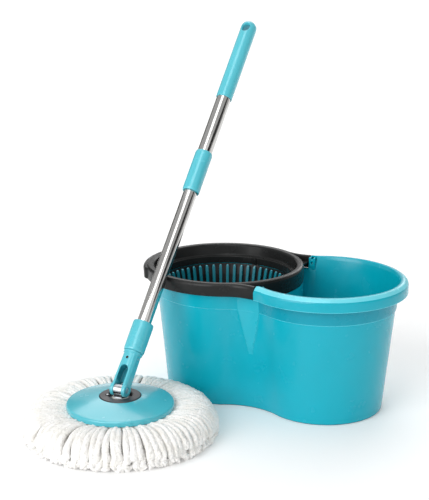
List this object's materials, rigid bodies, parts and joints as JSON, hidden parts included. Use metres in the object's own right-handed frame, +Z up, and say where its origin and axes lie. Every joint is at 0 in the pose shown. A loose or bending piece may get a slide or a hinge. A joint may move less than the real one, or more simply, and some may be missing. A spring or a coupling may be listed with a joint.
{
  "type": "spin mop set",
  "caption": "Two-lobe bucket with a lift-in spin basket, and a telescopic hand-press mop with a round fringed head leaning on the rim.",
  "frame": {"origin": "centre of the bucket's base, midway between the two lobes, on the floor", "axes": "+Z up, +X from the wringer lobe to the water lobe, +Y away from the mop head"},
  "size_m": [0.4904, 0.5711, 0.5773],
  "materials": {
    "bucket_plastic": "smooth injection-moulded polypropylene",
    "basket_plastic": "smooth moulded plastic",
    "mop_plastic": "satin moulded plastic",
    "dark_plastic": "satin dark grey plastic",
    "grey_plastic": "satin grey plastic",
    "white_plastic": "plain acetal",
    "steel_tube": "bright stainless steel tube",
    "steel_small": "plated steel",
    "brass_nut": "plain brass",
    "microfibre": "looped white microfibre strands"
  },
  "bodies": {
    "bucket_unit": {"bucket": "bucket_plastic", "wringer_frame": "dark_plastic", "bearing_bridge": "dark_plastic", "bridge_screws": "steel_small", "basket_axle": "steel_small", "axle_clip": "steel_small", "thrust_washer": "white_plastic"},
    "basket": {"spin_basket": "basket_plastic", "axle_bush": "white_plastic", "basket_hub_cap": "mop_plastic"},
    "neck": {"swivel_neck": "grey_plastic", "neck_washer": "white_plastic", "neck_clip": "steel_small"},
    "head": {"mop_plate": "mop_plastic", "hub_insert": "dark_plastic", "insert_screws": "steel_small", "refill_ring": "white_plastic", "mop_yarn": "microfibre"},
    "lower_pole": {"yoke": "mop_plastic", "yoke_rivet": "steel_small", "pivot_pin": "steel_small", "pivot_nut": "steel_small", "lower_tube": "steel_tube", "nut_housing": "dark_plastic", "housing_cap": "white_plastic"},
    "sleeve": {"lock_sleeve": "mop_plastic"},
    "nut": {"drive_nut": "brass_nut"},
    "upper_pole": {"upper_tube": "steel_tube", "collar_insert": "white_plastic", "grip": "mop_plastic", "anchor_rivet": "steel_small", "rod_anchor": "dark_plastic", "drive_rod": "steel_small"},
    "collar": {"lock_collar": "mop_plastic"}
  },
  "joints": [
    {"name": "basket_spin", "type": "hinge", "parent": "bucket_unit", "child": "basket", "pos_m": [-0.087, 0, 0.1], "axis": [0, 0, 1], "continuous": true},
    {"name": "mop_lift_off", "type": "slide", "parent": "bucket_unit", "child": "neck", "axis": [0, -0.6, 0.8], "range_m": [0, 0.35]},
    {"name": "head_spin", "type": "hinge", "parent": "neck", "child": "head", "pos_m": [-0.13, -0.251, 0.05], "axis": [0, 0, 1], "continuous": true},
    {"name": "yoke_tilt", "type": "hinge", "parent": "neck", "child": "lower_pole", "pos_m": [-0.13, -0.251, 0.068], "axis": [1, 0, 0], "range_deg": [0, 110]},
    {"name": "lock_sleeve_turn", "type": "hinge", "parent": "lower_pole", "child": "sleeve", "pos_m": [-0.13, -0.1999, 0.12955], "axis": [0, 0.6388, 0.7694], "range_deg": [0, 45]},
    {"name": "handle_push", "type": "slide", "parent": "lower_pole", "child": "upper_pole", "axis": [0, 0.6388, 0.7694], "range_m": [-0.135, 0.02]},
    {"name": "nut_spin", "type": "hinge", "parent": "lower_pole", "child": "nut", "pos_m": [-0.13, -0.00348, 0.36614], "axis": [0, 0.6388, 0.7694], "range_deg": [-80, 500]},
    {"name": "lock_collar_turn", "type": "hinge", "parent": "upper_pole", "child": "collar", "pos_m": [-0.13, -0.01466, 0.35268], "axis": [0, 0.6388, 0.7694], "range_deg": [0, 60]}
  ],
  "couplings": [
    {"joint": "nut_spin", "follows": "handle_push", "rad_per_m": -62.832}
  ]
}
